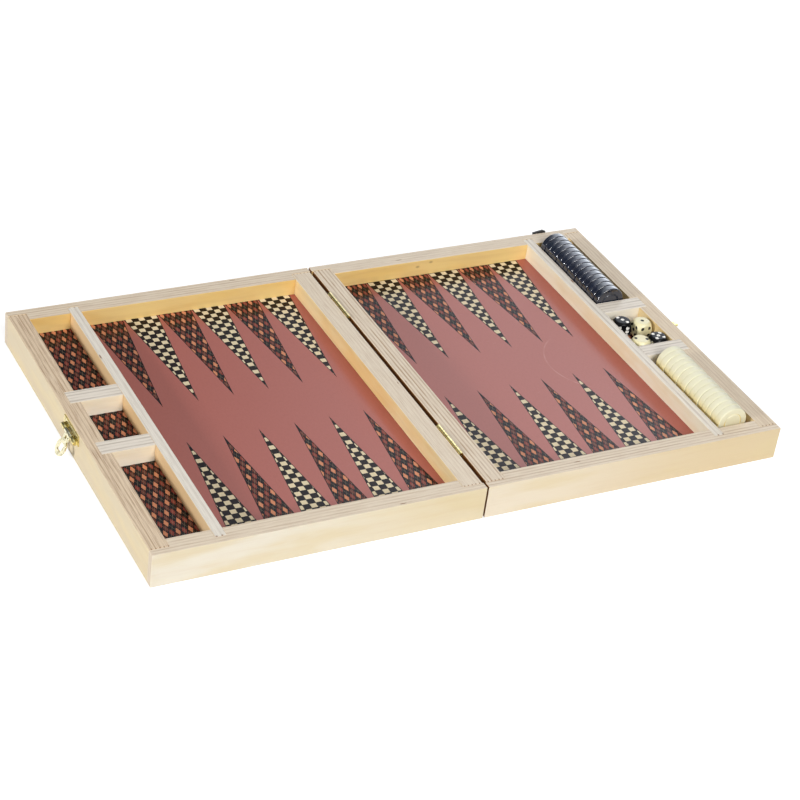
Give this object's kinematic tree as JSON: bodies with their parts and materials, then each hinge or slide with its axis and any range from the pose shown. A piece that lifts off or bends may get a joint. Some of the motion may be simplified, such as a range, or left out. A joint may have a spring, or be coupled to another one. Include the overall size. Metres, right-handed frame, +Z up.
{
  "type": "folding backgammon set",
  "caption": "Folding wooden backgammon case lying open: two hinged trays with printed point fields, storage bays with black and ivory checkers and dice, and a brass hasp clasp.",
  "frame": {"origin": "middle of the open board's footprint, on the surface that it lies on", "axes": "+X to the right across both trays, +Y to the back, +Z up"},
  "size_m": [0.5047, 0.3023, 0.037],
  "materials": {
    "plywood": "pale plywood under satin lacquer",
    "printed_floor": "printed point field under gloss lacquer",
    "brass": "polished brass plating",
    "black_checker": "glossy black plastic",
    "ivory_checker": "glossy ivory plastic",
    "black_die": "glossy black plastic with white pips",
    "ivory_die": "glossy ivory plastic with black pips",
    "leather": "black leather"
  },
  "bodies": {
    "right_tray": {"right_base_panel": "printed_floor", "right_front_rail": "plywood", "right_back_rail": "plywood", "right_end_rail": "plywood", "right_hinge_rail": "plywood", "right_storage_divider": "plywood", "right_partitions": "plywood", "right_tray_screws": "brass", "back_hinge_right_leaf": "brass", "front_hinge_right_leaf": "brass", "hinge_pins": "brass", "catch_plate": "brass", "pull_tab": "leather"},
    "left_tray": {"left_base_panel": "printed_floor", "left_front_rail": "plywood", "left_back_rail": "plywood", "left_end_rail": "plywood", "left_hinge_rail": "plywood", "left_storage_divider": "plywood", "left_partitions": "plywood", "left_tray_screws": "brass", "back_hinge_left_leaf": "brass", "front_hinge_left_leaf": "brass", "clasp_plate": "brass", "clasp_pin": "brass"},
    "clasp_hasp": {"clasp_hasp": "brass"},
    "black_checker_1": {"black_checker_1": "black_checker"},
    "black_checker_2": {"black_checker_2": "black_checker"},
    "black_checker_3": {"black_checker_3": "black_checker"},
    "black_checker_4": {"black_checker_4": "black_checker"},
    "black_checker_5": {"black_checker_5": "black_checker"},
    "black_checker_6": {"black_checker_6": "black_checker"},
    "black_checker_7": {"black_checker_7": "black_checker"},
    "black_checker_8": {"black_checker_8": "black_checker"},
    "black_checker_9": {"black_checker_9": "black_checker"},
    "black_checker_10": {"black_checker_10": "black_checker"},
    "black_checker_11": {"black_checker_11": "black_checker"},
    "black_checker_12": {"black_checker_12": "black_checker"},
    "black_checker_13": {"black_checker_13": "black_checker"},
    "black_checker_14": {"black_checker_14": "black_checker"},
    "black_checker_15": {"black_checker_15": "black_checker"},
    "ivory_checker_1": {"ivory_checker_1": "ivory_checker"},
    "ivory_checker_2": {"ivory_checker_2": "ivory_checker"},
    "ivory_checker_3": {"ivory_checker_3": "ivory_checker"},
    "ivory_checker_4": {"ivory_checker_4": "ivory_checker"},
    "ivory_checker_5": {"ivory_checker_5": "ivory_checker"},
    "ivory_checker_6": {"ivory_checker_6": "ivory_checker"},
    "ivory_checker_7": {"ivory_checker_7": "ivory_checker"},
    "ivory_checker_8": {"ivory_checker_8": "ivory_checker"},
    "ivory_checker_9": {"ivory_checker_9": "ivory_checker"},
    "ivory_checker_10": {"ivory_checker_10": "ivory_checker"},
    "ivory_checker_11": {"ivory_checker_11": "ivory_checker"},
    "ivory_checker_12": {"ivory_checker_12": "ivory_checker"},
    "ivory_checker_13": {"ivory_checker_13": "ivory_checker"},
    "ivory_checker_14": {"ivory_checker_14": "ivory_checker"},
    "ivory_checker_15": {"ivory_checker_15": "ivory_checker"},
    "black_die_1": {"black_die_1": "black_die"},
    "black_die_2": {"black_die_2": "black_die"},
    "ivory_die_1": {"ivory_die_1": "ivory_die"},
    "ivory_die_2": {"ivory_die_2": "ivory_die"}
  },
  "joints": [
    {"name": "board_fold", "type": "hinge", "parent": "right_tray", "child": "left_tray", "pos_m": [0, 0, 0.0262], "axis": [0, -1, 0], "range_deg": [-180, 0]},
    {"name": "clasp_swing", "type": "hinge", "parent": "left_tray", "child": "clasp_hasp", "pos_m": [-0.2457, 0.002, 0.0182], "axis": [0, 1, 0], "range_deg": [-28, 152]},
    {"name": "lift_black_checker_1", "type": "slide", "parent": "right_tray", "child": "black_checker_1", "axis": [0, 0, 1], "range_m": [0, 0.04]},
    {"name": "lift_black_checker_2", "type": "slide", "parent": "right_tray", "child": "black_checker_2", "axis": [0, 0, 1], "range_m": [0, 0.04]},
    {"name": "lift_black_checker_3", "type": "slide", "parent": "right_tray", "child": "black_checker_3", "axis": [0, 0, 1], "range_m": [0, 0.04]},
    {"name": "lift_black_checker_4", "type": "slide", "parent": "right_tray", "child": "black_checker_4", "axis": [0, 0, 1], "range_m": [0, 0.04]},
    {"name": "lift_black_checker_5", "type": "slide", "parent": "right_tray", "child": "black_checker_5", "axis": [0, 0, 1], "range_m": [0, 0.04]},
    {"name": "lift_black_checker_6", "type": "slide", "parent": "right_tray", "child": "black_checker_6", "axis": [0, 0, 1], "range_m": [0, 0.04]},
    {"name": "lift_black_checker_7", "type": "slide", "parent": "right_tray", "child": "black_checker_7", "axis": [0, 0, 1], "range_m": [0, 0.04]},
    {"name": "lift_black_checker_8", "type": "slide", "parent": "right_tray", "child": "black_checker_8", "axis": [0, 0, 1], "range_m": [0, 0.04]},
    {"name": "lift_black_checker_9", "type": "slide", "parent": "right_tray", "child": "black_checker_9", "axis": [0, 0, 1], "range_m": [0, 0.04]},
    {"name": "lift_black_checker_10", "type": "slide", "parent": "right_tray", "child": "black_checker_10", "axis": [0, 0, 1], "range_m": [0, 0.04]},
    {"name": "lift_black_checker_11", "type": "slide", "parent": "right_tray", "child": "black_checker_11", "axis": [0, 0, 1], "range_m": [0, 0.04]},
    {"name": "lift_black_checker_12", "type": "slide", "parent": "right_tray", "child": "black_checker_12", "axis": [0, 0, 1], "range_m": [0, 0.04]},
    {"name": "lift_black_checker_13", "type": "slide", "parent": "right_tray", "child": "black_checker_13", "axis": [0, 0, 1], "range_m": [0, 0.04]},
    {"name": "lift_black_checker_14", "type": "slide", "parent": "right_tray", "child": "black_checker_14", "axis": [0, 0, 1], "range_m": [0, 0.04]},
    {"name": "lift_black_checker_15", "type": "slide", "parent": "right_tray", "child": "black_checker_15", "axis": [0, 0, 1], "range_m": [0, 0.04]},
    {"name": "lift_ivory_checker_1", "type": "slide", "parent": "right_tray", "child": "ivory_checker_1", "axis": [0, 0, 1], "range_m": [0, 0.04]},
    {"name": "lift_ivory_checker_2", "type": "slide", "parent": "right_tray", "child": "ivory_checker_2", "axis": [0, 0, 1], "range_m": [0, 0.04]},
    {"name": "lift_ivory_checker_3", "type": "slide", "parent": "right_tray", "child": "ivory_checker_3", "axis": [0, 0, 1], "range_m": [0, 0.04]},
    {"name": "lift_ivory_checker_4", "type": "slide", "parent": "right_tray", "child": "ivory_checker_4", "axis": [0, 0, 1], "range_m": [0, 0.04]},
    {"name": "lift_ivory_checker_5", "type": "slide", "parent": "right_tray", "child": "ivory_checker_5", "axis": [0, 0, 1], "range_m": [0, 0.04]},
    {"name": "lift_ivory_checker_6", "type": "slide", "parent": "right_tray", "child": "ivory_checker_6", "axis": [0, 0, 1], "range_m": [0, 0.04]},
    {"name": "lift_ivory_checker_7", "type": "slide", "parent": "right_tray", "child": "ivory_checker_7", "axis": [0, 0, 1], "range_m": [0, 0.04]},
    {"name": "lift_ivory_checker_8", "type": "slide", "parent": "right_tray", "child": "ivory_checker_8", "axis": [0, 0, 1], "range_m": [0, 0.04]},
    {"name": "lift_ivory_checker_9", "type": "slide", "parent": "right_tray", "child": "ivory_checker_9", "axis": [0, 0, 1], "range_m": [0, 0.04]},
    {"name": "lift_ivory_checker_10", "type": "slide", "parent": "right_tray", "child": "ivory_checker_10", "axis": [0, 0, 1], "range_m": [0, 0.04]},
    {"name": "lift_ivory_checker_11", "type": "slide", "parent": "right_tray", "child": "ivory_checker_11", "axis": [0, 0, 1], "range_m": [0, 0.04]},
    {"name": "lift_ivory_checker_12", "type": "slide", "parent": "right_tray", "child": "ivory_checker_12", "axis": [0, 0, 1], "range_m": [0, 0.04]},
    {"name": "lift_ivory_checker_13", "type": "slide", "parent": "right_tray", "child": "ivory_checker_13", "axis": [0, 0, 1], "range_m": [0, 0.04]},
    {"name": "lift_ivory_checker_14", "type": "slide", "parent": "right_tray", "child": "ivory_checker_14", "axis": [0, 0, 1], "range_m": [0, 0.04]},
    {"name": "lift_ivory_checker_15", "type": "slide", "parent": "right_tray", "child": "ivory_checker_15", "axis": [0, 0, 1], "range_m": [0, 0.04]},
    {"name": "lift_black_die_1", "type": "slide", "parent": "right_tray", "child": "black_die_1", "axis": [0, 0, 1], "range_m": [0, 0.04]},
    {"name": "lift_black_die_2", "type": "slide", "parent": "right_tray", "child": "black_die_2", "axis": [0, 0, 1], "range_m": [0, 0.04]},
    {"name": "lift_ivory_die_1", "type": "slide", "parent": "right_tray", "child": "ivory_die_1", "axis": [0, 0, 1], "range_m": [0, 0.04]},
    {"name": "lift_ivory_die_2", "type": "slide", "parent": "right_tray", "child": "ivory_die_2", "axis": [0, 0, 1], "range_m": [0, 0.04]}
  ]
}
